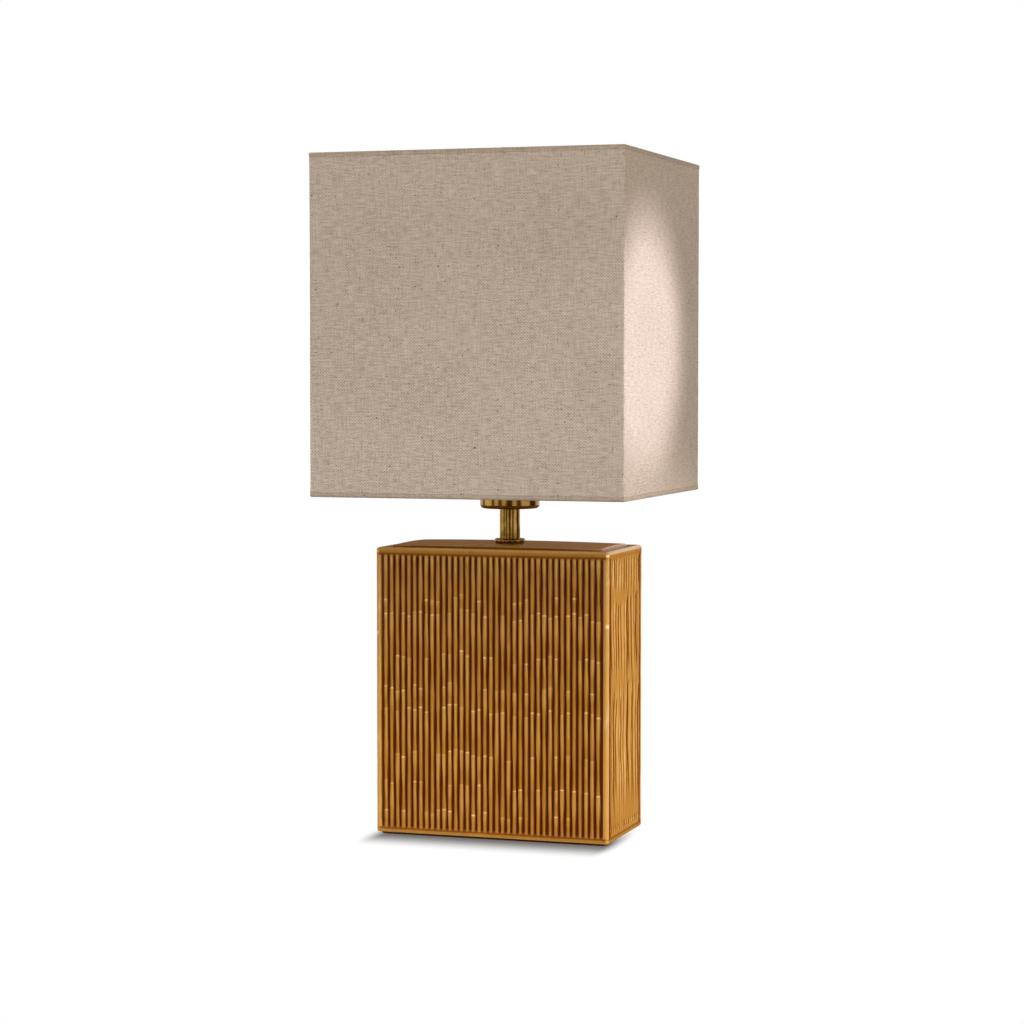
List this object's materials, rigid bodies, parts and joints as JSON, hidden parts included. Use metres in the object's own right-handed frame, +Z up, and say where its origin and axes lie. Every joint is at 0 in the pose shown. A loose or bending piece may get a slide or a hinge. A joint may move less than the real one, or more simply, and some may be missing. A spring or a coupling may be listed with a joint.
{
  "type": "column table lamp",
  "caption": "Table lamp with a ribbed rectangular ceramic base, a short brass neck and a rectangular linen shade on a fitter ring.",
  "frame": {"origin": "centre of the felt underside, on the lamp's vertical axis", "axes": "+Z up the lamp, -Y out of the ribbed front face, +X along the front to the right"},
  "size_m": [0.22, 0.19, 0.465],
  "materials": {
    "amber_glaze": "glossy reactive glaze, amber on the ribs and dark brown in the grooves",
    "felt": "dense wool felt",
    "black_plastic": "moulded, satin",
    "rubber": "plain sheet rubber",
    "zinc_steel": "zinc plated",
    "antique_brass": "polished, antiqued",
    "contact_brass": "bright pressed brass",
    "porcelain": "white porcelain",
    "white_wire": "white powder coat on steel",
    "white_lining": "white translucent sheet",
    "oatmeal_linen": "slubby plain-weave linen",
    "bulb_metal": "pressed, bright",
    "bulb_insulator": "black glassy",
    "bulb_plastic": "white, satin",
    "opal_plastic": "opal, satin gloss"
  },
  "bodies": {
    "base": {"ceramic_base": "amber_glaze", "base_felt": "felt", "cord_bush": "black_plastic", "rubber_pad": "rubber", "clamp_bar": "zinc_steel", "base_nut": "zinc_steel", "threaded_nipple": "zinc_steel", "seat_ring": "antique_brass", "neck_tube": "antique_brass", "holder_cup": "antique_brass", "cup_nut": "zinc_steel", "holder_sleeve": "antique_brass", "holder_core": "porcelain", "terminal_clamps": "contact_brass", "screw_shell": "contact_brass", "contact_spring": "zinc_steel"},
    "centre_contact": {"centre_contact": "contact_brass", "contact_clip": "zinc_steel"},
    "shade_ring": {"shade_ring": "antique_brass"},
    "shade": {"fitter_ring": "white_wire", "fitter_arm_right": "white_wire", "fitter_arm_back": "white_wire", "fitter_arm_left": "white_wire", "fitter_arm_front": "white_wire", "bottom_frame_wire": "white_wire", "top_frame_wire": "white_wire", "shade_lining": "white_lining", "linen_cover": "oatmeal_linen"},
    "bulb": {"bulb_foot": "bulb_metal", "bulb_insulator": "bulb_insulator", "bulb_cap": "bulb_metal", "bulb_collar": "bulb_plastic", "bulb_diffuser": "opal_plastic"}
  },
  "joints": [
    {"name": "shade_turn", "type": "hinge", "parent": "base", "child": "shade", "pos_m": [0, 0, 0.2547], "axis": [0, 0, 1], "continuous": true},
    {"name": "shade_ring_turn", "type": "hinge", "parent": "base", "child": "shade_ring", "pos_m": [0, 0, 0.2567], "axis": [0, 0, 1], "range_deg": [0, 1080]},
    {"name": "bulb_turn", "type": "hinge", "parent": "base", "child": "bulb", "pos_m": [0, 0, 0.258], "axis": [0, 0, 1], "range_deg": [0, 900]},
    {"name": "centre_contact_press", "type": "slide", "parent": "base", "child": "centre_contact", "axis": [0, 0, -1], "range_m": [0, 0.0012], "stiffness_N_per_m": 800, "springref_m": -0.0005, "deforming": ["contact_spring"]}
  ]
}
